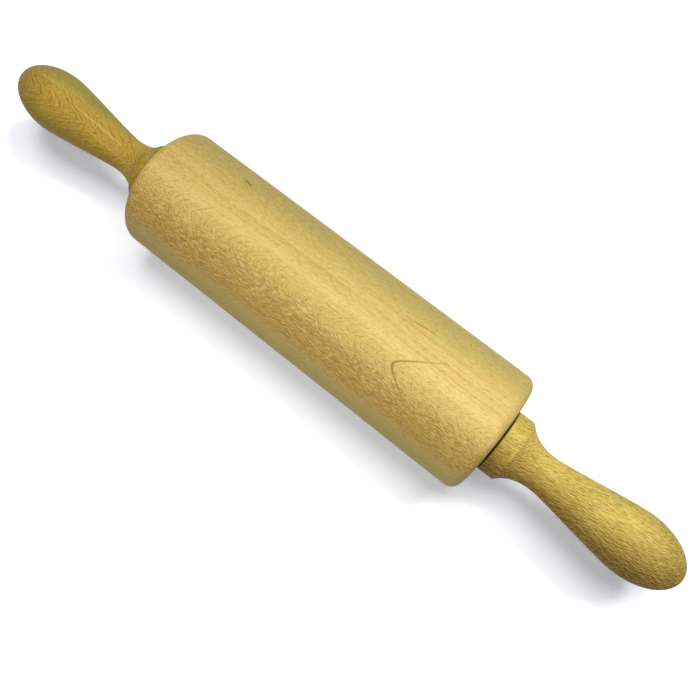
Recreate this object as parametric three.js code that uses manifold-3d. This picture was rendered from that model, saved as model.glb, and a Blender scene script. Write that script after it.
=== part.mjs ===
// A turned beech rolling pin. Its barrel runs on two shielded ball bearings, and the steel axle
// that carries them screws into a brass insert in each handle.
// Millimetres, +Z up, the pin along X, the origin on the table under the middle of the barrel.
import * as THREE from "three";
import { mergeVertices } from "three/addons/utils/BufferGeometryUtils.js";
import Module from "manifold-3d";

const wasm = await Module();
wasm.setup();

// Barrel, turned from one block of beech
const BARREL_LENGTH = 210;
const BARREL_DIAMETER = 65;
const BARREL_EDGE_RADIUS = 5.5;
const BEARING_SETBACK = 0.5; // the bearing's face below the barrel's end, which the mouth's chamfer takes up
const MOUTH_CHAMFER = 0.5;
const RUNNING_GAP = 2; // between the barrel's end and the handle

// Handle, turned from beech: lengths are from the face next to the barrel
const HANDLE_LENGTH = 101.5;
const COLLAR_DIAMETER = 33.3;
const COLLAR_LENGTH = 8.6;
const COVE_REACH = 5.9; // from the collar's edge to where the cove's two tangents meet
const NECK_DISTANCE = 25.5;
const NECK_DIAMETER = 19.2;
const BULB_DIAMETER = 32.3;
const BULB_TO_TIP = 25.8; // the tip is a quarter of an ellipse from the widest place to the end
const NECK_EASE = 0.15; // share of the flare over which it leaves the neck
const BULB_EASE = 0.17; // share of the flare over which it meets the bulb

// Axle and its retaining rings
const AXLE_DIAMETER = 8;
const AXLE_CHAMFER = 0.8;
const AXLE_OVERSHOOT = 3; // past the insert
const CLIP_THICKNESS = 0.8;
const CLIP_GROOVE_DEPTH = 0.2;
const CLIP_BAND = 1.5;
const CLIP_LUG_RADIUS = 1.5;
const CLIP_HOLE_DIAMETER = 1.2;
const CLIP_OPENING = 2; // between the two lugs
const CLIP_PASS = 0.9; // room for the ring on its way through the barrel

// Ball bearing
const BEARING_DIAMETER = 22;
const BEARING_WIDTH = 7;
const BEARING_CHAMFER = 0.3;
const BALL_DIAMETER = 3.969;
const BALL_COUNT = 7;
const RACE_DEPTH = 0.55;
const RACE_GAP = 0.1;
const POCKET_GAP = 0.12;
const CAGE_WALL = 1.5;
const CAGE_PRONG = 1.3; // from the middle of the balls to the cage's open side
const CAGE_END_GAP = 0.15;
const SHIELD_THICKNESS = 0.35;
const SHIELD_SETBACK = 0.2;
const SHIELD_SEAT_DEPTH = 0.65;
const SHIELD_GAP = 0.25;

// Spacer washer and threaded insert; threads are drawn as plain cylinders
const WASHER_INSET = 0.2; // smaller than the inner ring it presses on
const WASHER_CHAMFER = 0.2;
const INSERT_WALL = 2;
const INSERT_LENGTH = 18;
const INSERT_GROOVES = 3;
const INSERT_GROOVE_DEPTH = 0.4;
const TIP_HOLE_GAP = 0.25; // round the end of the axle, in the handle
const TIP_HOLE_SPARE = 2; // ahead of the end of the axle

// Fits
const PRESS_GAP = 0.05; // round pieces that are pushed or glued into each other
const SEAT_GAP = 0.05; // between faces that bear on each other

// Corners of the round pieces: the barrel's divide by four, so a flat lies at its bottom and at its sides
const BARREL_FACETS = 32;
const HANDLE_FACETS = 24;
const METAL_FACETS = 18;
const CLIP_FACETS = 16;
const POCKET_FACETS = 10;
const ARC_STEPS = 5;
const CURVE_STEPS = 7;
const BALL_DETAIL = 1;
const MERGE_DISTANCE = 1e-4;

// Places along the pin, from the middle of the barrel outwards
const barrelEnd = BARREL_LENGTH / 2;
const bearingFace = barrelEnd - BEARING_SETBACK;
const bearingMiddle = bearingFace - BEARING_WIDTH / 2;
const bearingBack = bearingFace - BEARING_WIDTH;
const clipFace = bearingBack - SEAT_GAP;
const clipBack = clipFace - CLIP_THICKNESS;
const handleFace = barrelEnd + RUNNING_GAP;
const axleEnd = handleFace + INSERT_LENGTH + AXLE_OVERSHOOT;

// Radii that several pieces share
const barrelRadius = BARREL_DIAMETER / 2;
const axleRadius = AXLE_DIAMETER / 2;
const bearingRadius = BEARING_DIAMETER / 2;
const ballRadius = BALL_DIAMETER / 2;
const pitchRadius = (axleRadius + bearingRadius) / 2;
const raceRadius = ballRadius + RACE_GAP;
const innerShoulder = pitchRadius - ballRadius + RACE_DEPTH;
const outerShoulder = pitchRadius + ballRadius - RACE_DEPTH;
const shieldSeat = outerShoulder + SHIELD_SEAT_DEPTH;
const clipGrooveRadius = axleRadius - CLIP_GROOVE_DEPTH;
const clipInner = clipGrooveRadius + PRESS_GAP;
const clipLugCentre = clipInner + CLIP_LUG_RADIUS;
const tunnelRadius = clipLugCentre + CLIP_LUG_RADIUS + CLIP_PASS;
const insertBore = axleRadius + PRESS_GAP;
const insertRadius = insertBore + INSERT_WALL;

const beech = (colour) => new THREE.MeshStandardMaterial({ color: colour, roughness: 0.55, metalness: 0 });
const barrelBeech = beech(0xd9bd72);
const leftHandleBeech = beech(0xb58c42);
const rightHandleBeech = beech(0xc7a552);
const axleSteel = new THREE.MeshStandardMaterial({ color: 0xb4b6b8, roughness: 0.35, metalness: 1 });
const bearingSteel = new THREE.MeshStandardMaterial({ color: 0xc8cacc, roughness: 0.15, metalness: 1 });
const springSteel = new THREE.MeshStandardMaterial({ color: 0x4a4c50, roughness: 0.45, metalness: 1 });
const brass = new THREE.MeshStandardMaterial({ color: 0xb8964e, roughness: 0.3, metalness: 1 });
const nylon = new THREE.MeshStandardMaterial({ color: 0xe6e2d4, roughness: 0.6, metalness: 0 });

// A point of a profile: its distance from the axis and its place along it.
const at = (radius, along) => new THREE.Vector2(radius, along);

// The corner radius of a polygon whose flats lie at a radius, so that a bore keeps its size.
const acrossFlats = (radius, facets) => radius / Math.cos(Math.PI / facets);

// A round stretch of a profile, turning clockwise about a centre on the profile's plane.
function arc(centre, radius, from, to) {
  const curve = new THREE.EllipseCurve(centre.x, centre.y, radius, radius, from, to, true);
  return curve.getPoints(ARC_STEPS);
}

// A ring turned about the Y axis from the corners of its section, counter-clockwise.
function ring(corners, facets = METAL_FACETS, firstCorner = 0) {
  return new THREE.LatheGeometry([...corners, corners[0]], facets, firstCorner);
}

// A closed geometry as a solid that can be joined and cut.
function solid(geometry) {
  geometry.deleteAttribute("normal");
  geometry.deleteAttribute("uv");
  const merged = mergeVertices(geometry, MERGE_DISTANCE);
  const vertProperties = merged.attributes.position.array;
  const triVerts = new Uint32Array(merged.index.array);
  return new wasm.Manifold(new wasm.Mesh({ numProp: 3, vertProperties, triVerts }));
}

function geometryOf(body) {
  const { vertProperties, triVerts } = body.getMesh();
  const geometry = new THREE.BufferGeometry();
  geometry.setAttribute("position", new THREE.BufferAttribute(vertProperties, 3));
  geometry.setIndex(new THREE.BufferAttribute(triVerts, 1));
  geometry.computeVertexNormals();
  return geometry;
}

function piece(name, geometry, material) {
  const mesh = new THREE.Mesh(geometry, material);
  mesh.name = name;
  return mesh;
}

// The barrel: rounded edges, a bearing seat in each end and a tunnel that lets the axle's rings pass.
function barrel() {
  const seatRadius = bearingRadius + PRESS_GAP;
  const roundingCentre = at(barrelRadius - BARREL_EDGE_RADIUS, barrelEnd - BARREL_EDGE_RADIUS);
  const end = [
    at(tunnelRadius, clipFace),
    at(seatRadius, clipFace),
    at(seatRadius, barrelEnd - MOUTH_CHAMFER),
    at(seatRadius + MOUTH_CHAMFER, barrelEnd),
    ...arc(roundingCentre, BARREL_EDGE_RADIUS, Math.PI / 2, 0),
  ];
  for (const point of end) point.x = acrossFlats(point.x, BARREL_FACETS);
  const otherEnd = end.map((point) => at(point.x, -point.y));
  return ring([...otherEnd, ...end.reverse()], BARREL_FACETS, Math.PI / BARREL_FACETS);
}

// The axle: a chamfered steel rod with a groove for the retaining ring behind each bearing.
function axle() {
  const half = [
    at(axleRadius, clipBack - SEAT_GAP),
    at(clipGrooveRadius, clipBack - SEAT_GAP),
    at(clipGrooveRadius, bearingBack),
    at(axleRadius, bearingBack),
    at(axleRadius, axleEnd - AXLE_CHAMFER),
    at(axleRadius - AXLE_CHAMFER, axleEnd),
    at(0, axleEnd),
  ];
  const otherHalf = half.map((point) => at(point.x, -point.y)).reverse();
  return new THREE.LatheGeometry([...otherHalf, ...half], METAL_FACETS);
}

// A plate of the retaining ring's thickness, lying across the axis where the ring sits.
function clipPlate(shape) {
  const settings = { depth: CLIP_THICKNESS, bevelEnabled: false, curveSegments: CLIP_FACETS / 2 };
  return solid(new THREE.ExtrudeGeometry(shape, settings).rotateX(-Math.PI / 2).translate(0, clipBack, 0));
}

const disc = (x, y, radius) => new THREE.Shape().absarc(x, y, radius, 0, 2 * Math.PI);

// The retaining ring: an open band of spring steel with a pierced lug on each side of its opening.
function retainingRing() {
  const band = disc(0, 0, clipInner + CLIP_BAND);
  band.holes.push(disc(0, 0, acrossFlats(clipInner, CLIP_FACETS)));
  const lugSide = CLIP_OPENING / 2 + CLIP_LUG_RADIUS;
  const lugUp = Math.sqrt(clipLugCentre ** 2 - lugSide ** 2);
  const reach = clipLugCentre + CLIP_LUG_RADIUS;
  const opening = new THREE.Shape();
  opening.moveTo(-CLIP_OPENING / 2, 0);
  opening.lineTo(CLIP_OPENING / 2, 0);
  opening.lineTo(CLIP_OPENING / 2, reach);
  opening.lineTo(-CLIP_OPENING / 2, reach);
  let body = clipPlate(band);
  for (const side of [-lugSide, lugSide]) {
    body = body.add(clipPlate(disc(side, lugUp, CLIP_LUG_RADIUS)));
    body = body.subtract(clipPlate(disc(side, lugUp, CLIP_HOLE_DIAMETER / 2)));
  }
  return geometryOf(body.subtract(clipPlate(opening)));
}

// The bearing's outer ring: a ball groove inside and a seat for a shield at each face.
function outerRing() {
  const top = BEARING_WIDTH / 2;
  const shieldFloor = top - SHIELD_SETBACK - SHIELD_THICKNESS - SEAT_GAP;
  const grooveAngle = Math.acos((outerShoulder - pitchRadius) / raceRadius);
  const bore = [
    at(shieldSeat, top),
    at(shieldSeat, shieldFloor),
    at(outerShoulder, shieldFloor),
    ...arc(at(pitchRadius, 0), raceRadius, grooveAngle, -grooveAngle),
    at(outerShoulder, -shieldFloor),
    at(shieldSeat, -shieldFloor),
    at(shieldSeat, -top),
  ];
  for (const point of bore) point.x = acrossFlats(point.x, METAL_FACETS);
  const outside = [
    at(bearingRadius - BEARING_CHAMFER, -top),
    at(bearingRadius, BEARING_CHAMFER - top),
    at(bearingRadius, top - BEARING_CHAMFER),
    at(bearingRadius - BEARING_CHAMFER, top),
  ];
  return ring([...outside, ...bore]).translate(0, bearingMiddle, 0);
}

// The bearing's inner ring: it fits the axle and has the ball groove outside.
function innerRing() {
  const top = BEARING_WIDTH / 2;
  const bore = acrossFlats(axleRadius + PRESS_GAP, METAL_FACETS);
  const grooveAngle = Math.acos((pitchRadius - innerShoulder) / raceRadius);
  const section = [
    at(bore, -top),
    at(innerShoulder, -top),
    ...arc(at(pitchRadius, 0), raceRadius, Math.PI + grooveAngle, Math.PI - grooveAngle),
    at(innerShoulder, top),
    at(bore, top),
  ];
  return ring(section).translate(0, bearingMiddle, 0);
}

// A thin washer-shaped shield in the outer ring, clear of the inner one.
function shield(facing) {
  const inner = acrossFlats(innerShoulder + SHIELD_GAP, METAL_FACETS);
  const outer = shieldSeat - PRESS_GAP;
  const middle = BEARING_WIDTH / 2 - SHIELD_SETBACK - SHIELD_THICKNESS / 2;
  const low = bearingMiddle + facing * middle - SHIELD_THICKNESS / 2;
  const high = low + SHIELD_THICKNESS;
  return ring([at(inner, low), at(outer, low), at(outer, high), at(inner, high)]);
}

const ballAngle = (index) => (2 * Math.PI * index) / BALL_COUNT;

// The cage: a nylon crown whose pockets are open towards the handle's side of the balls.
function cage() {
  const inner = acrossFlats(pitchRadius - CAGE_WALL / 2, METAL_FACETS);
  const outer = pitchRadius + CAGE_WALL / 2;
  const spine = BEARING_WIDTH / 2 - SHIELD_SETBACK - SHIELD_THICKNESS - CAGE_END_GAP;
  const section = [at(inner, -spine), at(outer, -spine), at(outer, CAGE_PRONG), at(inner, CAGE_PRONG)];
  let crown = solid(ring(section));
  const pocketRadius = acrossFlats(ballRadius + POCKET_GAP, POCKET_FACETS);
  for (let index = 0; index < BALL_COUNT; index += 1) {
    const pocket = new THREE.CylinderGeometry(pocketRadius, pocketRadius, 2 * CAGE_WALL, POCKET_FACETS);
    pocket.rotateX(Math.PI / 2).translate(0, 0, pitchRadius).rotateY(ballAngle(index));
    crown = crown.subtract(solid(pocket));
  }
  return geometryOf(crown).translate(0, bearingMiddle, 0);
}

function ball(index) {
  const sphere = new THREE.IcosahedronGeometry(ballRadius, BALL_DETAIL);
  return sphere.translate(0, bearingMiddle, pitchRadius).rotateY(ballAngle(index));
}

// The spacer washer between the bearing's inner ring and the insert: it sets the running gap.
function spacerWasher() {
  const bore = acrossFlats(axleRadius + PRESS_GAP, METAL_FACETS);
  const outer = innerShoulder - WASHER_INSET;
  const low = bearingFace + SEAT_GAP;
  const high = handleFace - SEAT_GAP;
  const section = [
    at(bore, low),
    at(outer - WASHER_CHAMFER, low),
    at(outer, low + WASHER_CHAMFER),
    at(outer, high - WASHER_CHAMFER),
    at(outer - WASHER_CHAMFER, high),
    at(bore, high),
  ];
  return ring(section);
}

// The threaded insert: a brass sleeve with glue grooves, flush with the handle's face.
function threadedInsert() {
  const bore = acrossFlats(insertBore, METAL_FACETS);
  const land = INSERT_LENGTH / (2 * INSERT_GROOVES + 1);
  const outside = [at(insertRadius, 0)];
  for (let groove = 1; groove < 2 * INSERT_GROOVES; groove += 2) {
    const start = groove * land;
    outside.push(at(insertRadius, start), at(insertRadius - INSERT_GROOVE_DEPTH, start));
    outside.push(at(insertRadius - INSERT_GROOVE_DEPTH, start + land), at(insertRadius, start + land));
  }
  outside.push(at(insertRadius, INSERT_LENGTH));
  const section = [at(bore, 0), ...outside, at(bore, INSERT_LENGTH)];
  return ring(section).translate(0, handleFace, 0);
}

// The handle: a collar, a cove down to the neck, a long flare to the bulb and a round tip.
function handle() {
  const collarRadius = COLLAR_DIAMETER / 2;
  const neckRadius = NECK_DIAMETER / 2;
  const bulbRadius = BULB_DIAMETER / 2;
  const bulbDistance = HANDLE_LENGTH - BULB_TO_TIP;
  const flareLength = bulbDistance - NECK_DISTANCE;
  const holeRadius = acrossFlats(axleRadius + TIP_HOLE_GAP, HANDLE_FACETS);
  const sleeveRadius = acrossFlats(insertRadius + PRESS_GAP, HANDLE_FACETS);
  const sleeveEnd = INSERT_LENGTH + SEAT_GAP;
  const holeEnd = INSERT_LENGTH + AXLE_OVERSHOOT + TIP_HOLE_SPARE;
  const cove = new THREE.QuadraticBezierCurve(
    at(collarRadius, COLLAR_LENGTH),
    at(neckRadius, COLLAR_LENGTH + COVE_REACH),
    at(neckRadius, NECK_DISTANCE),
  );
  const flare = new THREE.CubicBezierCurve(
    at(neckRadius, NECK_DISTANCE),
    at(neckRadius, NECK_DISTANCE + NECK_EASE * flareLength),
    at(bulbRadius, bulbDistance - BULB_EASE * flareLength),
    at(bulbRadius, bulbDistance),
  );
  const tip = new THREE.EllipseCurve(0, bulbDistance, bulbRadius, BULB_TO_TIP, 0, Math.PI / 2);
  const profile = [
    at(0, holeEnd),
    at(holeRadius, holeEnd),
    at(holeRadius, sleeveEnd),
    at(sleeveRadius, sleeveEnd),
    at(sleeveRadius, 0),
    at(collarRadius, 0),
    ...cove.getPoints(CURVE_STEPS),
    ...flare.getPoints(CURVE_STEPS).slice(1),
    ...tip.getPoints(CURVE_STEPS).slice(1, -1),
    at(0, HANDLE_LENGTH),
  ];
  return new THREE.LatheGeometry(profile, HANDLE_FACETS).translate(0, handleFace, 0);
}

// Everything at one end of the pin, along +Y of its own group.
function endPieces(side, handleBeech) {
  const bearing = side + "_bearing";
  const end = new THREE.Group();
  end.add(
    piece(side + "_retaining_ring", retainingRing(), springSteel),
    piece(bearing + "_outer_ring", outerRing(), bearingSteel),
    piece(bearing + "_inner_ring", innerRing(), bearingSteel),
    piece(bearing + "_cage", cage(), nylon),
    piece(bearing + "_inner_shield", shield(-1), bearingSteel),
    piece(bearing + "_outer_shield", shield(1), bearingSteel),
    piece(side + "_spacer_washer", spacerWasher(), axleSteel),
    piece(side + "_threaded_insert", threadedInsert(), brass),
    piece(side + "_handle", handle(), handleBeech),
  );
  for (let index = 0; index < BALL_COUNT; index += 1) {
    end.add(piece(bearing + "_ball_" + (index + 1), ball(index), bearingSteel));
  }
  return end;
}

// Each group stands along its own Y axis and is turned to lie along the pin.
const middle = new THREE.Group();
middle.add(piece("barrel", barrel(), barrelBeech), piece("axle_rod", axle(), axleSteel));
middle.rotation.z = -Math.PI / 2;
const rightEnd = endPieces("right", rightHandleBeech);
rightEnd.rotation.z = -Math.PI / 2;
const leftEnd = endPieces("left", leftHandleBeech);
leftEnd.rotation.z = Math.PI / 2;

const pin = new THREE.Group();
pin.add(middle, rightEnd, leftEnd);
pin.position.z = barrelRadius;

const rollingPin = new THREE.Group();
rollingPin.add(pin);

export default rollingPin;
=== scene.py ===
import math
from functools import partial

import bpy
from mathutils import Matrix, Vector


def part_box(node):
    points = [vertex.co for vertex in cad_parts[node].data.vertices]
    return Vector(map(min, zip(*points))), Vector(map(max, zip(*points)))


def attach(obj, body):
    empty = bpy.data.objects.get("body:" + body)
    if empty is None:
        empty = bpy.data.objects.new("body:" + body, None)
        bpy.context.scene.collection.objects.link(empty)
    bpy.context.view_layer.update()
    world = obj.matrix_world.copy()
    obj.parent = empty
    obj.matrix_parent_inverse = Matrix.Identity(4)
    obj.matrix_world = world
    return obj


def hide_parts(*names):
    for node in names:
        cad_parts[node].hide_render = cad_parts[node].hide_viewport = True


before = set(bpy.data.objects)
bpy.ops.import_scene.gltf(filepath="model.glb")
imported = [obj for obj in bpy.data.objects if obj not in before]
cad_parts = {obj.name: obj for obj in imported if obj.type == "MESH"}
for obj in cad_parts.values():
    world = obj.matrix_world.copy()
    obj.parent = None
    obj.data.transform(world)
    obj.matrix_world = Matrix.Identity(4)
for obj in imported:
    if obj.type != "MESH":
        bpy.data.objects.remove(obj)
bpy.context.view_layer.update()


# Barrel
# One block of beech, turned to a cylinder with well rounded edges and sanded smooth. A ball bearing is
# pressed into a seat in each end, and a tunnel between the seats lets the axle and its retaining rings pass.
# Sizes are in millimetres, places along the pin are from the middle of the barrel, and radii from its axis.
MM = 0.001
barrel_low, barrel_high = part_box("barrel")
axis_height = (barrel_low.z + barrel_high.z) / 2
barrel_radius = (barrel_high.z - axis_height) / MM
barrel_end = barrel_high.x / MM
edge_radius = 5.5
mouth_chamfer = 0.5
seat_radius = 11.05
seat_floor = 97.45
tunnel_radius = 7.75


def arc(along, out, radius, start, end, steps):
    """Points of a round stretch of a profile, from one angle to another in degrees: 0 is along the pin."""
    angles = [math.radians(start + (end - start) * step / steps) for step in range(steps + 1)]
    return [(along + radius * math.cos(angle), out + radius * math.sin(angle)) for angle in angles]


def turn(name, profile, steps, soften=0.0, centre=(0, 0, axis_height)):
    """A piece turned about a line along the pin, from its profile of places along it and radii."""
    bpy.ops.object.select_all(action="DESELECT")
    start = Vector(centre) + Vector((profile[0][0], 0, profile[0][1])) * MM
    bpy.ops.mesh.primitive_plane_add(size=MM, location=start)
    piece = bpy.context.object
    piece.name = piece.data.name = name
    bpy.ops.object.transform_apply(location=True, rotation=False, scale=False)
    bpy.ops.object.mode_set(mode="EDIT")
    bpy.ops.mesh.select_all(action="SELECT")
    bpy.ops.mesh.merge(type="CENTER")
    for (along, out), (next_along, next_out) in zip(profile, profile[1:]):
        step = ((next_along - along) * MM, 0, (next_out - out) * MM)
        bpy.ops.mesh.extrude_region_move(TRANSFORM_OT_translate={"value": step})
    bpy.ops.mesh.select_all(action="SELECT")
    bpy.ops.mesh.spin(steps=steps, angle=2 * math.pi, center=centre, axis=(1, 0, 0))
    bpy.ops.mesh.select_all(action="SELECT")
    bpy.ops.mesh.remove_doubles(threshold=0.001 * MM)
    bpy.ops.mesh.normals_make_consistent(inside=False)
    bpy.ops.object.mode_set(mode="OBJECT")
    if soften:
        bpy.ops.object.modifier_add(type="BEVEL")
        bevel = piece.modifiers[-1]
        bevel.width = soften * MM
        bevel.segments = 3
        bevel.limit_method = "ANGLE"
        bevel.angle_limit = math.radians(30)
        bpy.ops.object.modifier_apply(modifier=bevel.name)
    bpy.ops.object.shade_smooth_by_angle(angle=math.radians(35))
    return piece


barrel_half = [
    (seat_floor, tunnel_radius),
    (seat_floor, seat_radius),
    (barrel_end - mouth_chamfer, seat_radius),
    (barrel_end, seat_radius + mouth_chamfer),
    *arc(barrel_end - edge_radius, barrel_radius - edge_radius, edge_radius, 0, 90, 16),
]
barrel_profile = barrel_half + [(-along, out) for along, out in reversed(barrel_half)]
barrel = turn("barrel_turned", barrel_profile + barrel_profile[:1], 128)


def linear(colour):
    """An sRGB hex colour as the linear values that a colour socket takes."""
    shares = [int(colour[place:place + 2], 16) / 255 for place in (0, 2, 4)]
    return [s / 12.92 if s <= 0.04045 else ((s + 0.055) / 1.055) ** 2.4 for s in shares] + [1]


def add_node(tree, kind, inputs=None, **settings):
    """Adds a node. An input takes a value or another node's output, by the socket's name or number."""
    node = tree.nodes.new(kind)
    for setting, value in settings.items():
        setattr(node, setting, value)
    for socket, value in (inputs or {}).items():
        if isinstance(value, bpy.types.NodeSocket):
            tree.links.new(value, node.inputs[socket])
        else:
            node.inputs[socket].default_value = value
    return node


def new_material(name):
    """An empty material, and the function that adds a node to it."""
    material = bpy.data.materials.new(name)
    material.use_nodes = True
    material.node_tree.nodes.clear()
    return material, partial(add_node, material.node_tree)


def block_place(add, facing=0):
    """Places in mm from the pin's axis, turned so many degrees from straight up towards the viewer."""
    place = add("ShaderNodeTexCoord")
    return add("ShaderNodeMapping", {
        "Vector": place.outputs["Object"],
        "Location": (0, 0, axis_height),
        "Rotation": (math.radians(facing), 0, 0),
        "Scale": (MM, MM, MM),
    }, vector_type="TEXTURE").outputs[0]


# Sanded beech. Its growth layers lie like the leaves of a book: they show as straight streaks where the lathe
# has cut across them, and as nested arcs along the strip where it has only skimmed them. Its rays are dashes.
def beech(name, facing, radius, tones, band, drift, warm_shaded_zone, dashes, **figure):
    """A beech whose layers are square to a direction so many degrees from straight up towards the viewer."""
    arcs = figure.get("arcs")
    marks = figure.get("marks")
    material, add = new_material(name)
    pale, deep, warm_and_shade, side, fleck_and_shade = (linear(tone) for tone in tones)
    grain = block_place(add, facing)
    along, across, up = add("ShaderNodeSeparateXYZ", {0: grain}).outputs

    # Bands of paler and deeper wood: height in the stack of layers, which drift along the grain
    drift_scale = (1 / drift[0], 1 / drift[1], 1 / drift[1])
    drift_place = add("ShaderNodeMapping", {"Vector": grain, "Scale": drift_scale})
    drifting = add("ShaderNodeTexNoise", {"Vector": drift_place.outputs[0], "Scale": 1, "Detail": 1})
    layer = add("ShaderNodeMath", {0: drifting.outputs[0], 1: drift[2], 2: up}, operation="MULTIPLY_ADD")
    bands = add("ShaderNodeTexNoise", {
        "W": layer.outputs[0], "Scale": 1 / band, "Detail": 4, "Roughness": 0.7,
    }, noise_dimensions="1D")

    # Streaks: long straight lines
    streak_long, streak_wide = 90, 1.3
    streak_place = add("ShaderNodeMapping", {
        "Vector": grain, "Scale": (1 / streak_long, 1 / streak_wide, 1 / streak_wide),
    })
    streaks = add("ShaderNodeTexNoise", {"Vector": streak_place.outputs[0], "Scale": 1, "Detail": 2})
    streaked = add("ShaderNodeMath", {
        0: streaks.outputs[0], 1: 0.7, 2: bands.outputs[0],
    }, operation="MULTIPLY_ADD")
    tone = add("ShaderNodeMapRange", {"Value": streaked.outputs[0], "From Min": 0.65, "From Max": 1.05})
    colour = add("ShaderNodeMix", {0: tone.outputs[0], 6: deep, 7: pale}, data_type="RGBA")

    # Painted shade: darker, greener colour towards the sides of the block as it faces the viewer, where the
    # light falls off
    beside = add("ShaderNodeMath", {0: across}, operation="ABSOLUTE")
    painted_side_shade = add("ShaderNodeMapRange", {
        "Value": beside.outputs[0], "From Min": 0.45 * radius, "From Max": 0.95 * radius,
    }, interpolation_type="SMOOTHSTEP")
    colour = add("ShaderNodeMix", {0: painted_side_shade.outputs[0], 6: colour.outputs[2], 7: side}, data_type="RGBA")

    # A zone of warmer, darker wood with crowded dashes, from one place across the block to another. Its
    # darkness is partly the wood's own and partly painted shade on the side away from the light
    rise = add("ShaderNodeMapRange", {
        "Value": across, "From Min": warm_shaded_zone[0], "From Max": warm_shaded_zone[1],
    }, interpolation_type="SMOOTHSTEP")
    fall = add("ShaderNodeMapRange", {
        "Value": across, "From Min": warm_shaded_zone[2], "From Max": warm_shaded_zone[3], "To Min": 1, "To Max": 0,
    }, interpolation_type="SMOOTHSTEP")
    crowding = add("ShaderNodeMath", {0: rise.outputs[0], 1: fall.outputs[0]}, operation="MULTIPLY")
    cloud_long, cloud_wide = 30, 9
    cloud_place = add("ShaderNodeMapping", {
        "Vector": grain, "Scale": (1 / cloud_long, 1 / cloud_wide, 1 / cloud_wide),
    })
    cloud = add("ShaderNodeTexNoise", {"Vector": cloud_place.outputs[0], "Scale": 1, "Detail": 2})
    warmth_and_shade = add("ShaderNodeMath", {
        0: cloud.outputs[0], 1: 0.7, 2: crowding.outputs[0],
    }, operation="MULTIPLY_ADD")
    warming_and_shading = add("ShaderNodeMapRange", {"Value": warmth_and_shade.outputs[0], "From Min": 0.35, "From Max": 1.4})
    colour = add("ShaderNodeMix", {0: warming_and_shading.outputs[0], 6: colour.outputs[2], 7: warm_and_shade}, data_type="RGBA")

    # Painted shade: the piece is darker towards an end where the light falls off, and less so away from it
    for start, end, share in figure["dusk"]:
        darker = add("ShaderNodeMapRange", {
            "Value": along, "From Min": start, "From Max": end, "To Min": share, "To Max": 0,
        })
        colour = add("ShaderNodeMix", {
            0: darker.outputs[0], 6: colour.outputs[2], 7: fleck_and_shade,
        }, data_type="RGBA")

    # Fibres: fine short lines, each dark one beside a light one, and stronger in the warmer zone. The pairs
    # are painted shade and painted highlight, as on grain standing in relief, and the dark lines are partly
    # the wood's own pores. Real fibres are too fine to show, so these are drawn about half a millimetre wide
    slant = math.radians(figure.get("slant", 0))
    fibres = figure["fibres"]
    shifted = []
    for shift in (0, fibres["apart"]):
        fibre_place = add("ShaderNodeMapping", {
            "Vector": grain, "Location": (0, shift, shift), "Rotation": (0, 0, slant),
            "Scale": fibres["size"],
        }, vector_type="TEXTURE")
        fibre = add("ShaderNodeTexNoise", {"Vector": fibre_place.outputs[0], "Scale": 1, "Detail": 1})
        shifted.append(fibre.outputs[0])
    ripple = add("ShaderNodeMath", {0: shifted[0], 1: shifted[1]}, operation="SUBTRACT")
    strength = add("ShaderNodeMath", {
        0: crowding.outputs[0], 1: fibres["crowd"], 2: fibres["depth"],
    }, operation="MULTIPLY_ADD")
    full_line = 0.35
    for end, tint in ((full_line, fleck_and_shade), (-full_line, linear(fibres["light"]))):
        line = add("ShaderNodeMapRange", {"Value": ripple.outputs[0], "From Min": 0, "From Max": end})
        share = add("ShaderNodeMath", {0: line.outputs[0], 1: strength.outputs[0]}, operation="MULTIPLY")
        colour = add("ShaderNodeMix", {0: share.outputs[0], 6: colour.outputs[2], 7: tint}, data_type="RGBA")

    # Nested arcs along the skimmed strip, which open to one end, wander a little and break off
    sunken = []
    if arcs:
        bow = add("ShaderNodeMath", {0: across, 1: across}, operation="MULTIPLY")
        bowed = add("ShaderNodeMath", {
            0: bow.outputs[0], 1: arcs["slope"] ** 2, 2: arcs["round"] ** 2,
        }, operation="MULTIPLY_ADD")
        behind = add("ShaderNodeMath", {0: bowed.outputs[0]}, operation="SQRT")
        sway_long, sway_wide = arcs["sway"]
        wander_place = add("ShaderNodeMapping", {
            "Vector": grain, "Scale": (1 / sway_long, 1 / sway_wide, 1 / sway_wide),
        })
        wander = add("ShaderNodeTexNoise", {"Vector": wander_place.outputs[0], "Scale": 1, "Detail": 1})
        wandering = add("ShaderNodeMath", {
            0: wander.outputs[0], 1: arcs["wander"], 2: along,
        }, operation="MULTIPLY_ADD")
        ahead = add("ShaderNodeMath", {
            0: behind.outputs[0], 1: arcs["opens"], 2: wandering.outputs[0],
        }, operation="MULTIPLY_ADD")
        rungs = add("ShaderNodeTexNoise", {
            "W": ahead.outputs[0], "Scale": 1 / arcs["step"], "Detail": 0,
        }, noise_dimensions="1D")
        broken = add("ShaderNodeTexNoise", {"Vector": grain, "Scale": 1 / arcs["piece"], "Detail": 1})
        kept = add("ShaderNodeMapRange", {"Value": broken.outputs[0], "From Min": 0.4, "From Max": 0.6})
        strip = add("ShaderNodeMapRange", {
            "Value": beside.outputs[0], "From Min": arcs["reach"] / 2, "From Max": arcs["reach"],
            "To Min": 1, "To Max": 0,
        }, interpolation_type="SMOOTHSTEP")
        in_strip = add("ShaderNodeMath", {0: kept.outputs[0], 1: strip.outputs[0]}, operation="MULTIPLY")
        for (low, high), tint in (((0.5, 0.72), fleck_and_shade), ((0.5, 0.3), pale)):
            rung = add("ShaderNodeMapRange", {
                "Value": rungs.outputs[0], "From Min": low, "From Max": high, "To Max": arcs["depth"],
            }, interpolation_type="SMOOTHSTEP")
            stroke = add("ShaderNodeMath", {0: rung.outputs[0], 1: in_strip.outputs[0]}, operation="MULTIPLY")
            colour = add("ShaderNodeMix", {
                0: stroke.outputs[0], 6: colour.outputs[2], 7: tint,
            }, data_type="RGBA")
            if tint is fleck_and_shade:
                sunken.append(stroke.outputs[0])

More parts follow.
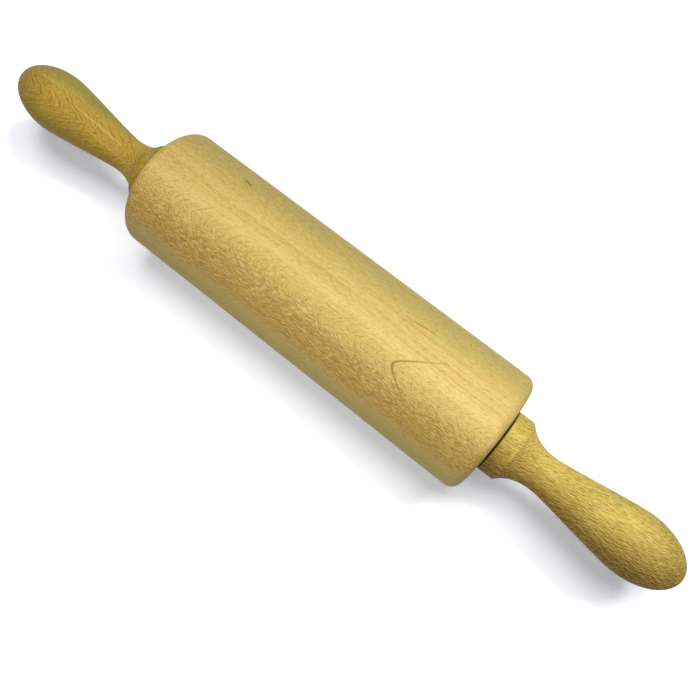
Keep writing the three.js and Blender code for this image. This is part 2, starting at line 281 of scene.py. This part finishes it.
    # Rays: dashes along the grain or at a slant to it, closer together in the warmer zone
    for dash in dashes:
        dash_place = add("ShaderNodeMapping", {
            "Vector": grain, "Rotation": (0, 0, slant), "Scale": dash["size"],
        }, vector_type="TEXTURE")
        rays = add("ShaderNodeTexNoise", {
            "Vector": dash_place.outputs[0], "Scale": 1, "Detail": 1, "Distortion": 0.1,
        })
        crowded = add("ShaderNodeMath", {
            0: crowding.outputs[0], 1: dash["crowd"], 2: rays.outputs[0],
        }, operation="MULTIPLY_ADD")
        ray = add("ShaderNodeMapRange", {
            "Value": crowded.outputs[0], "From Min": dash["from"], "From Max": dash["from"] + 0.08,
            "To Max": dash["depth"],
        })
        colour = add("ShaderNodeMix", {0: ray.outputs[0], 6: colour.outputs[2], 7: fleck_and_shade}, data_type="RGBA")
        light = add("ShaderNodeMapRange", {
            "Value": rays.outputs[0], "From Min": 0.42, "From Max": 0.34, "To Max": dash["depth"] * 0.7,
        })
        colour = add("ShaderNodeMix", {0: light.outputs[0], 6: colour.outputs[2], 7: pale}, data_type="RGBA")
        sunken.append(ray.outputs[0])
    if marks:
        colour = marks(add, grain, colour, fleck_and_shade)

    # End grain drinks in more light than the sides do
    facing_out = add("ShaderNodeTexCoord")
    endwise = add("ShaderNodeSeparateXYZ", {0: facing_out.outputs["Normal"]})
    end_share = add("ShaderNodeMath", {0: endwise.outputs[0]}, operation="ABSOLUTE")
    end_tone = add("ShaderNodeMapRange", {
        "Value": end_share.outputs[0], "From Min": 0.85, "From Max": 1, "To Max": 0.25,
    })
    colour = add("ShaderNodeMix", {0: end_tone.outputs[0], 6: colour.outputs[2], 7: fleck_and_shade}, data_type="RGBA")

    # Satin from fine sanding, duller and a little sunken in the dashes
    deepest = sunken[0]
    for depth in sunken[1:]:
        deepest = add("ShaderNodeMath", {0: deepest, 1: depth}, operation="MAXIMUM").outputs[0]
    rough = add("ShaderNodeMapRange", {"Value": deepest, "To Min": 0.55, "To Max": 0.75})
    bump = add("ShaderNodeBump", {
        "Height": deepest, "Strength": 0.3, "Distance": 0.05 * MM,
    }, invert=True)
    shader = add("ShaderNodeBsdfPrincipled", {
        "Base Color": colour.outputs[2], "Roughness": rough.outputs[0], "Normal": bump.outputs[0],
        "IOR": 1.5, "Specular IOR Level": 0.12,
    })
    add("ShaderNodeOutputMaterial", {0: shader.outputs[0]})
    return material


def streak(add, grain, colour, mark, tone):
    """Draws a long thin mark over a colour: a soft-edged ellipsoid of another tone, cut by the lathe."""
    local = add("ShaderNodeMapping", {
        "Vector": grain, "Location": mark["place"], "Scale": mark["half"],
        "Rotation": [math.radians(angle) for angle in mark["turn"]],
    }, vector_type="TEXTURE")
    far = add("ShaderNodeVectorMath", {0: local.outputs[0]}, operation="LENGTH")
    share = add("ShaderNodeMapRange", {
        "Value": far.outputs[1], "From Max": 1, "To Min": mark["depth"], "To Max": 0,
    }, interpolation_type="SMOOTHSTEP")
    return add("ShaderNodeMix", {0: share.outputs[0], 6: colour.outputs[2], 7: tone}, data_type="RGBA")


# Three marks of this block: the pointed peak of one growth ring, a mineral streak and a hair line.
peak_along = 48.2
peak_across = 1.3
peak_round = 5
peak_slope = 1.7
peak_line = 1.25
peak_near_limb = 18
peak_far_limb = 21
peak_tone = "8C6A28"
mineral_streak = {"place": (-61, 26.5, 18.8), "turn": (0, -13, -9.4), "half": (5, 1.1, 1.1), "depth": 0.9}
hair_line = {"place": (48, 21.9, 24), "turn": (0, 4.6, 4.8), "half": (14, 0.5, 0.7), "depth": 0.7}


def barrel_marks(add, grain, colour, fleck_and_shade):
    """Draws the marks over the barrel's colour."""
    along, across, up = add("ShaderNodeSeparateXYZ", {0: grain}).outputs
    past = add("ShaderNodeMath", {0: along, 1: peak_along}, operation="SUBTRACT")
    aside = add("ShaderNodeMath", {0: across, 1: peak_across}, operation="SUBTRACT")
    spread = add("ShaderNodeMath", {0: aside.outputs[0], 1: aside.outputs[0]}, operation="MULTIPLY")
    bowed = add("ShaderNodeMath", {
        0: spread.outputs[0], 1: peak_slope ** 2, 2: peak_round ** 2,
    }, operation="MULTIPLY_ADD")
    behind = add("ShaderNodeMath", {0: bowed.outputs[0]}, operation="SQRT")
    start = add("ShaderNodeMath", {0: past.outputs[0], 1: peak_round}, operation="ADD")
    apart = add("ShaderNodeMath", {0: start.outputs[0], 1: behind.outputs[0]}, operation="SUBTRACT")
    width = add("ShaderNodeMath", {0: apart.outputs[0]}, operation="ABSOLUTE")
    edge = add("ShaderNodeMapRange", {
        "Value": width.outputs[0], "From Max": peak_line, "To Min": 0.8, "To Max": 0,
    }, interpolation_type="SMOOTHSTEP")
    reach = add("ShaderNodeMapRange", {
        "Value": aside.outputs[0], "From Min": -1, "From Max": 1,
        "To Min": peak_near_limb, "To Max": peak_far_limb,
    })
    gone = add("ShaderNodeMath", {0: past.outputs[0], 1: reach.outputs[0]}, operation="DIVIDE")
    fade = add("ShaderNodeMapRange", {
        "Value": gone.outputs[0], "From Min": 0.3, "From Max": 1, "To Min": 1, "To Max": 0,
    })
    on_top = add("ShaderNodeMath", {0: up, 1: 0}, operation="GREATER_THAN")
    peak = add("ShaderNodeMath", {0: edge.outputs[0], 1: fade.outputs[0]}, operation="MULTIPLY")
    peak = add("ShaderNodeMath", {0: peak.outputs[0], 1: on_top.outputs[0]}, operation="MULTIPLY")
    colour = add("ShaderNodeMix", {
        0: peak.outputs[0], 6: colour.outputs[2], 7: linear(peak_tone),
    }, data_type="RGBA")
    for mark in (mineral_streak, hair_line):
        colour = streak(add, grain, colour, mark, fleck_and_shade)
    return colour


barrel.data.materials.append(beech(
    "sanded beech", facing=18, radius=barrel_radius,
    tones=("E6CA7C", "D3B464", "BC9A50", "BEAC60", "6E5018"),
    band=2.4, drift=(70, 40, 3), warm_shaded_zone=(-26, -17, -11, 4),
    dusk=[(-barrel_end, barrel_end, 0.36)],
    marks=barrel_marks,
    arcs={
        "opens": -1, "slope": 1.18, "round": 2, "step": 1.2, "wander": 7, "sway": (14, 9), "piece": 3,
        "reach": 10, "depth": 0.24,
    },
    fibres={"size": (2.2, 0.5, 0.5), "apart": 0.4, "depth": 0.24, "crowd": 0.32, "light": "ECD388"},
    dashes=[
        {"size": (1.7, 0.5, 0.5), "from": 0.64, "depth": 0.2, "crowd": 0.12},
        {"size": (3, 0.6, 0.6), "from": 0.68, "depth": 0.3, "crowd": 0.1},
    ],
))
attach(barrel, "barrel")
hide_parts("barrel")


# Ball bearings
# Two shielded bearings of 8 x 22 x 7 mm carry the barrel and are pressed into its ends. Their rings are
# hardened and ground steel, a moulded nylon crown spaces seven lapped balls, and a pressed sheet shield
# closes each face.
bearing_low, bearing_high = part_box("right_bearing_outer_ring")
bearing_middle = (bearing_low.x + bearing_high.x) / 2 / MM
bearing_half = (bearing_high.x - bearing_low.x) / 2 / MM
ring_radius = 11
ring_chamfer = 0.3
bore_radius = 4.05
pitch_radius = 7.5
ball_radius = 1.984
race_radius = 2.0845
race_angle = 46.5
outer_shoulder = 8.9345
inner_shoulder = 6.0655
shield_seat = 9.5845
shield_floor = 2.9
half_turn = Matrix.Rotation(math.pi, 4, "Z")


def metal(name, tones, roughness, sizes, around=False):
    """A metal with fine tool marks of these sizes in mm, along the axes or around the pin's axis."""
    material, add = new_material(name)
    bright, dull = (linear(tone) for tone in tones)
    place = block_place(add)
    if around:
        split = add("ShaderNodeSeparateXYZ", {0: place}).outputs
        flat = add("ShaderNodeCombineXYZ", {1: split[1], 2: split[2]})
        out = add("ShaderNodeVectorMath", {0: flat.outputs[0]}, operation="LENGTH")
        place = add("ShaderNodeCombineXYZ", {0: split[0], 1: out.outputs[1]}).outputs[0]
    scaled = add("ShaderNodeMapping", {"Vector": place, "Scale": [1 / size for size in sizes]})
    marks = add("ShaderNodeTexNoise", {"Vector": scaled.outputs[0], "Scale": 1, "Detail": 3})
    shade = add("ShaderNodeMapRange", {"Value": marks.outputs[0], "From Min": 0.3, "From Max": 0.7})
    colour = add("ShaderNodeMix", {0: shade.outputs[0], 6: bright, 7: dull}, data_type="RGBA")
    rough = add("ShaderNodeMapRange", {
        "Value": shade.outputs[0], "To Min": roughness[0], "To Max": roughness[1],
    })
    bump = add("ShaderNodeBump", {"Height": marks.outputs[0], "Strength": 0.15, "Distance": 0.02 * MM})
    shader = add("ShaderNodeBsdfPrincipled", {
        "Base Color": colour.outputs[2], "Metallic": 1, "Roughness": rough.outputs[0],
        "Normal": bump.outputs[0],
    })
    add("ShaderNodeOutputMaterial", {0: shader.outputs[0]})
    return material


def copied(piece, name, move):
    """A copy of a piece with its own mesh, moved within that mesh."""
    copy = piece.copy()
    copy.data = piece.data.copy()
    copy.name = copy.data.name = name
    copy.data.transform(move)
    bpy.context.collection.objects.link(copy)
    return copy


def fit_pair(right, node, body, material):
    """Copies a right-hand piece to the left end, and gives both their finish and place in the assembly."""
    left = copied(right, right.name.replace("right", "left", 1), half_turn)
    for side, piece in (("left", left), ("right", right)):
        piece.data.materials.append(material)
        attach(piece, body.format(side=side))
        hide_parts(side + node)


# Ground steel has fine lines round the axis, lapped balls hardly any, and rolled sheet a soft even grain.
bearing_steel = metal(
    "ground bearing steel", ("D2D4D6", "BCBEC1"), (0.14, 0.26), (0.12, 0.12, 1), around=True,
)
ball_steel = metal("lapped bearing steel", ("DADCDE", "CCCED0"), (0.05, 0.1), (0.3, 0.3, 0.3))
shield_steel = metal("pressed sheet steel", ("C8CACC", "B4B6B9"), (0.26, 0.4), (0.5, 0.5, 0.5))

outer_section = [
    (-bearing_half, shield_seat),
    (-shield_floor, shield_seat),
    (-shield_floor, outer_shoulder),
    *arc(0, pitch_radius, race_radius, 90 + race_angle, 90 - race_angle, 14),
    (shield_floor, outer_shoulder),
    (shield_floor, shield_seat),
    (bearing_half, shield_seat),
    (bearing_half, ring_radius - ring_chamfer),
    (bearing_half - ring_chamfer, ring_radius),
    (ring_chamfer - bearing_half, ring_radius),
    (-bearing_half, ring_radius - ring_chamfer),
    (-bearing_half, shield_seat),
]
inner_section = [
    (-bearing_half, bore_radius + ring_chamfer),
    (-bearing_half, inner_shoulder),
    *arc(0, pitch_radius, race_radius, -90 - race_angle, -90 + race_angle, 14),
    (bearing_half, inner_shoulder),
    (bearing_half, bore_radius + ring_chamfer),
    (bearing_half - ring_chamfer, bore_radius),
    (ring_chamfer - bearing_half, bore_radius),
    (-bearing_half, bore_radius + ring_chamfer),
]
for part, section, body in (("outer", outer_section, "barrel"), ("inner", inner_section, "axle_and_handles")):
    node = "_bearing_" + part + "_ring"
    profile = [(bearing_middle + along, out) for along, out in section]
    fit_pair(turn("right" + node + "_ground", profile, 72), node, body, bearing_steel)

# A shield is a flat ring of sheet with a shallow step pressed into it
shield_inner = 6.3155
shield_outer = 9.5345
shield_sheet = 0.23
shield_step = 0.12
step_start = 7.6
step_end = 8
for part, way in (("outer", 1), ("inner", -1)):
    node = "_bearing_" + part + "_shield"
    low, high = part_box("right" + node)
    face = (high.x if way > 0 else low.x) / MM
    outside = [
        (face, shield_inner),
        (face, step_start),
        (face - way * shield_step, step_end),
        (face - way * shield_step, shield_outer),
    ]
    inside = [(along - way * shield_sheet, out) for along, out in reversed(outside)]
    shield = turn("right" + node + "_pressed", outside + inside + outside[:1], 72)
    fit_pair(shield, node, "barrel", shield_steel)

# Each ball is turned about a line through its own middle
first_ball = "right_bearing_ball_1"
ball_low, ball_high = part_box(first_ball)
ball_middle = (ball_low + ball_high) / 2
ball_profile = arc(0, 0, ball_radius, 180, 0, 24)
ball_profile[0] = (-ball_radius, 0)
ball_profile[-1] = (ball_radius, 0)
ball = turn(first_ball + "_lapped", ball_profile, 40, centre=ball_middle)
balls = [ball]
for number in range(2, 8):
    name = "right_bearing_ball_" + str(number)
    low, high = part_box(name)
    balls.append(copied(ball, name + "_lapped", Matrix.Translation((low + high) / 2 - ball_middle)))
for number, ball in enumerate(balls, 1):
    fit_pair(ball, "_bearing_ball_" + str(number), "{side}_cage", ball_steel)

# The crown is moulded in natural nylon: milky, with a soft even skin
natural_nylon, add = new_material("moulded natural nylon")
skin = add("ShaderNodeTexNoise", {"Vector": block_place(add), "Scale": 1 / 0.6, "Detail": 3})
milky = add("ShaderNodeMix", {0: skin.outputs[0], 6: linear("EBE7DA"), 7: linear("DFDACA")}, data_type="RGBA")
dull = add("ShaderNodeMapRange", {"Value": skin.outputs[0], "To Min": 0.4, "To Max": 0.55})
moulded = add("ShaderNodeBump", {"Height": skin.outputs[0], "Strength": 0.1, "Distance": 0.02 * MM})
shader = add("ShaderNodeBsdfPrincipled", {
    "Base Color": milky.outputs[2], "Roughness": dull.outputs[0], "Normal": moulded.outputs[0], "IOR": 1.53,
})
add("ShaderNodeOutputMaterial", {0: shader.outputs[0]})
for side in ("left", "right"):
    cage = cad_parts[side + "_bearing_cage"]
    cage.data.materials.clear()
    cage.data.materials.append(natural_nylon)


# Axle rod
# A drawn bright steel rod, 8 mm thick, that passes through both bearings and screws into the handles. A
# groove behind each bearing holds a retaining ring. Its thread is drawn as plain rings, because it is hidden
# in the insert.
axle_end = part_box("axle_rod")[1].x / MM
axle_radius = 4
axle_chamfer = 0.8
groove_radius = 3.8
groove_start = 96.6
groove_end = 97.5
thread_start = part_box("right_threaded_insert")[0].x / MM
thread_pitch = 1.25
thread_depth = 0.55
axle_half = [
    (groove_start, axle_radius),
    (groove_start, groove_radius),
    (groove_end, groove_radius),
    (groove_end, axle_radius),
]
thread_turns = int((axle_end - axle_chamfer - thread_start) / thread_pitch)
for ridge in range(thread_turns):
    start = thread_start + ridge * thread_pitch
    axle_half += [(start, axle_radius), (start + thread_pitch / 2, axle_radius - thread_depth)]
axle_half += [
    (thread_start + thread_turns * thread_pitch, axle_radius),
    (axle_end - axle_chamfer, axle_radius),
    (axle_end, axle_radius - axle_chamfer),
    (axle_end, 0),
]
axle = turn("axle_rod_drawn", [(-along, out) for along, out in reversed(axle_half)] + axle_half, 64)

# Drawing leaves long fine lines along the rod
drawn_steel = metal("drawn bright steel", ("C4C6C9", "A9ABAF"), (0.22, 0.36), (18, 0.15, 0.15))
axle.data.materials.append(drawn_steel)
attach(axle, "axle_and_handles")
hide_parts("axle_rod")


# Retaining rings
# Open rings stamped from spring steel and phosphated dark grey. They snap into the axle's grooves behind the
# bearings and keep the barrel from sliding along the axle.
phosphated_steel = metal("phosphated spring steel", ("55585C", "3E4145"), (0.4, 0.6), (0.15, 0.15, 0.15))
for side in ("left", "right"):
    retaining_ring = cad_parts[side + "_retaining_ring"]
    retaining_ring.data.materials.clear()
    retaining_ring.data.materials.append(phosphated_steel)


# Spacer washers
# Small turned steel rings between each bearing's inner ring and the handle's insert. They set the running
# gap that keeps the handle off the barrel.
washer_low, washer_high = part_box("right_spacer_washer")
washer_start = washer_low.x / MM
washer_end = washer_high.x / MM
washer_radius = 5.8655
washer_chamfer = 0.2
washer_profile = [
    (washer_start, bore_radius + washer_chamfer),
    (washer_start, washer_radius - washer_chamfer),
    (washer_start + washer_chamfer, washer_radius),
    (washer_end - washer_chamfer, washer_radius),
    (washer_end, washer_radius - washer_chamfer),
    (washer_end, bore_radius + washer_chamfer),
    (washer_end - washer_chamfer, bore_radius),
    (washer_start + washer_chamfer, bore_radius),
    (washer_start, bore_radius + washer_chamfer),
]
turned_steel = metal("turned bright steel", ("C4C6C9", "ABADB1"), (0.24, 0.36), (0.1, 0.1, 1), around=True)
washer = turn("right_spacer_washer_turned", washer_profile, 64)
fit_pair(washer, "_spacer_washer", "axle_and_handles", turned_steel)


# Threaded inserts
# Brass sleeves turned with three glue grooves and glued into the handles, flush with the face next to the
# barrel. The axle screws into them.
insert_low, insert_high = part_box("right_threaded_insert")
insert_start = insert_low.x / MM
insert_end = insert_high.x / MM
insert_radius = 6.05
insert_chamfer = 0.3
glue_grooves = 3
glue_depth = 0.4
land = (insert_end - insert_start) / (2 * glue_grooves + 1)
insert_profile = [
    (insert_start, bore_radius + insert_chamfer),
    (insert_start, insert_radius - insert_chamfer),
    (insert_start + insert_chamfer, insert_radius),
]
for groove in range(glue_grooves):
    start = insert_start + (2 * groove + 1) * land
    insert_profile += [(start, insert_radius), (start, insert_radius - glue_depth)]
    insert_profile += [(start + land, insert_radius - glue_depth), (start + land, insert_radius)]
insert_profile += [
    (insert_end - insert_chamfer, insert_radius),
    (insert_end, insert_radius - insert_chamfer),
    (insert_end, bore_radius + insert_chamfer),
    (insert_end - insert_chamfer, bore_radius),
    (insert_start + insert_chamfer, bore_radius),
    (insert_start, bore_radius + insert_chamfer),
]
turned_brass = metal("turned brass", ("C9A85E", "B08E46"), (0.2, 0.34), (0.12, 0.12, 1), around=True)
insert = turn("right_threaded_insert_turned", insert_profile, 64)
fit_pair(insert, "_threaded_insert", "axle_and_handles", turned_brass)


# Handles
# Two turned pieces of beech, each with a collar next to the barrel, a cove down to the neck, a long flare
# to a bulb that fills the palm and a round closed tip. Each is glued to the insert that screws onto the axle.
handle_low, handle_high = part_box("right_handle")
handle_face = handle_low.x / MM
handle_tip = handle_high.x / MM
handle_length = handle_tip - handle_face
collar_radius = 16.65
collar_length = 8.6
cove_reach = 5.9
neck_distance = 25.5
neck_radius = 9.6
bulb_radius = 16.15
bulb_to_tip = 25.8
neck_ease = 0.15
bulb_ease = 0.17
sleeve_radius = 6.1
sleeve_depth = 18.05
hole_radius = 4.25
hole_depth = 23
corner_radius = 0.35


def bezier(points, steps):
    """Points along a Bezier curve after its first point, by repeated halving of its legs' shares."""
    curve = []
    for step in range(1, steps + 1):
        legs = list(points)
        while len(legs) > 1:
            legs = [tuple(a + (b - a) * step / steps for a, b in zip(p, q)) for p, q in zip(legs, legs[1:])]
        curve.append(legs[0])
    return curve


bulb = handle_length - bulb_to_tip
flare = bulb - neck_distance
cove_start = (collar_length, collar_radius)
cove_leg = (collar_length + cove_reach, neck_radius)
neck = (neck_distance, neck_radius)
neck_leg = (neck_distance + neck_ease * flare, neck_radius)
bulb_leg = (bulb - bulb_ease * flare, bulb_radius)
handle_profile = [
    (hole_depth, 0),
    (hole_depth, hole_radius),
    (sleeve_depth, hole_radius),
    (sleeve_depth, sleeve_radius),
    (0, sleeve_radius),
    (0, collar_radius),
    cove_start,
    *bezier([cove_start, cove_leg, neck], 16),
    *bezier([neck, neck_leg, bulb_leg, (bulb, bulb_radius)], 28),
    *[(bulb + bulb_to_tip * along, bulb_radius * out) for along, out in arc(0, 0, 1, 90, 0, 20)[1:-1]],
    (handle_length, 0),
]
handle_profile = [(handle_face + along, out) for along, out in handle_profile]
right_handle = turn("right_handle_turned", handle_profile, 96, soften=corner_radius)
left_handle = copied(right_handle, "left_handle_turned", half_turn)

# The left handle is darker wood with a wavy figure and two pale ridges along its middle, and the right one
# is paler, with fine short dashes at a slant. Both have painted shade over some length from an end: the left
# one next to the barrel and at its tip, the right one at its tip
collar_dusk = 14
left_tip_dusk = 28.5
right_tip_dusk = 32.5
ridge_tone = linear("D2B45E")
ridges = [
    {"place": (-145, 3.7, 12), "turn": (0, 0, -3.8), "half": (27, 0.7, 8), "depth": 0.6},
    {"place": (-142, -1.9, 12), "turn": (0, 0, -4.4), "half": (24, 0.6, 8), "depth": 0.5},
]


def left_handle_marks(add, grain, colour, fleck_and_shade):
    """Draws the ridges over the left handle's colour."""
    for ridge in ridges:
        colour = streak(add, grain, colour, ridge, ridge_tone)
    return colour


handle_woods = {
    "left": beech(
        "sanded beech left handle", facing=19, radius=13,
        tones=("C0A850", "A0843A", "AA8A34", "96883E", "5A400E"),
        band=2, drift=(16, 9, 5), warm_shaded_zone=(-20, -12, 4, 12),
        dusk=[
            (-handle_face, -handle_face - collar_dusk, 0.65),
            (-handle_tip, left_tip_dusk - handle_tip, 0.52),
        ],
        arcs={
            "opens": 1, "slope": 2.2, "round": 2, "step": 2, "wander": 6, "sway": (7, 4), "piece": 2,
            "reach": 13, "depth": 0.45,
        },
        marks=left_handle_marks,
        fibres={"size": (2.2, 0.5, 0.5), "apart": 0.4, "depth": 0.1, "crowd": 0, "light": "CCB45E"},
        dashes=[{"size": (1.6, 0.5, 0.5), "from": 0.64, "depth": 0.4, "crowd": 0.06}],
    ),
    "right": beech(
        "sanded beech right handle", facing=10, radius=bulb_radius,
        # Its warm tone is very dark: warmer wood, and painted shade for the lower side of the bulb and collar
        tones=("DCC262", "CEB250", "805C04", "C8B456", "4A3002"),
        band=2.2, drift=(60, 24, 2), warm_shaded_zone=(-40, -30, -15, 9), slant=10,
        dusk=[(handle_tip, handle_tip - right_tip_dusk, 0.65)],
        fibres={"size": (2.6, 0.45, 1.2), "apart": 0.36, "depth": 0.6, "crowd": 0.1, "light": "EED47C"},
        dashes=[
            {"size": (3, 0.38, 1.4), "from": 0.6, "depth": 0.2, "crowd": 0.05},
            {"size": (5, 0.42, 2), "from": 0.64, "depth": 0.4, "crowd": 0.06},
        ],
    ),
}
for side, handle in (("left", left_handle), ("right", right_handle)):
    handle.data.materials.append(handle_woods[side])
    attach(handle, "axle_and_handles")
    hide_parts(side + "_handle")


# White card under the pin
# A wide sheet of matt white card. It shows as white where the light is full and keeps the pin's soft shadow.
# It throws back less light than it shows, so that the pin's sides fall off into shade.
bpy.ops.object.select_all(action="DESELECT")
bpy.ops.mesh.primitive_plane_add(size=8)
table = bpy.context.object
table.name = "white_card"
card, add = new_material("matt white card")
thrown = add("ShaderNodeBsdfDiffuse", {"Color": linear("A0A09E")})
matt = add("ShaderNodeBsdfDiffuse", {"Color": linear("F9F9FA")})
lift = add("ShaderNodeEmission", {"Color": linear("E8ECFF"), "Strength": 0.2})
shown = add("ShaderNodeAddShader", {0: matt.outputs[0], 1: lift.outputs[0]})
path = add("ShaderNodeLightPath")
mirrored = add("ShaderNodeMath", {
    0: path.outputs["Is Glossy Ray"], 1: path.outputs["Is Transmission Ray"],
}, operation="MAXIMUM")
seen = add("ShaderNodeMath", {0: path.outputs["Is Camera Ray"], 1: mirrored.outputs[0]}, operation="MAXIMUM")
surface = add("ShaderNodeMixShader", {0: seen.outputs[0], 1: thrown.outputs[0], 2: shown.outputs[0]})
add("ShaderNodeOutputMaterial", {0: surface.outputs[0]})
table.data.materials.append(card)


# Light
# A wide soft lamp hangs high above the pin, one shines from behind it and a weaker one from in front. A
# small lamp close in front lifts the barrel's shadow, and the white room adds a little.
world = bpy.data.worlds.new("white room")
bpy.context.scene.world = world
world.use_nodes = True
world.node_tree.nodes.clear()
add = partial(add_node, world.node_tree)
path = add("ShaderNodeLightPath")
mirrored = add("ShaderNodeMath", {
    0: path.outputs["Is Glossy Ray"], 1: path.outputs["Is Transmission Ray"],
}, operation="MAXIMUM")
seen = add("ShaderNodeMath", {0: path.outputs["Is Camera Ray"], 1: mirrored.outputs[0]}, operation="MAXIMUM")
strength = add("ShaderNodeMapRange", {"Value": seen.outputs[0], "To Min": 0.05, "To Max": 1})
room = add("ShaderNodeBackground", {"Strength": strength.outputs[0]})
add("ShaderNodeOutputWorld", {0: room.outputs[0]})

lamps = {
    "high_lamp": {"place": (-0.1, 0.45, 2.2), "size": (0.9, 0.9), "watts": 26},
    "front_lamp": {"place": (0.1, -0.8, 1.8), "size": (1, 1), "watts": 7.6},
    "near_lamp": {"place": (-0.03, -0.17, 0.2), "size": (0.15, 0.15), "watts": 0.14},
    "back_lamp": {"place": (0.5, 1, 1.8), "size": (0.5, 0.5), "watts": 19},
}
for name, setting in lamps.items():
    place = Vector(setting["place"])
    turned = (Vector((0, 0, axis_height)) - place).to_track_quat("-Z", "Y").to_euler()
    bpy.ops.object.light_add(type="AREA", location=place, rotation=turned)
    lamp = bpy.context.object
    lamp.name = lamp.data.name = name
    lamp.data.shape = "RECTANGLE"
    lamp.data.size, lamp.data.size_y = setting["size"]
    lamp.data.energy = setting["watts"]
    lamp.visible_camera = False


# Camera, fitted to the photograph's outline
# It looks down from in front of the right-hand end of the barrel.
lens = 35.63
aim = Vector((24.69 * MM, -9.67 * MM, axis_height))
distance = 339.4 * MM
azimuth = math.radians(38.653)
elevation = math.radians(75.849)
back = Vector((
    math.sin(azimuth) * math.cos(elevation), -math.cos(azimuth) * math.cos(elevation), math.sin(elevation),
))
view_turn = (-back).to_track_quat("-Z", "Y").to_euler()
bpy.ops.object.camera_add(location=aim + back * distance, rotation=view_turn)
camera = bpy.context.object
camera.data.lens = lens
camera.data.sensor_width = 36
camera.data.clip_start = 0.01
bpy.context.scene.camera = camera
bpy.context.scene.view_settings.view_transform = "Standard"
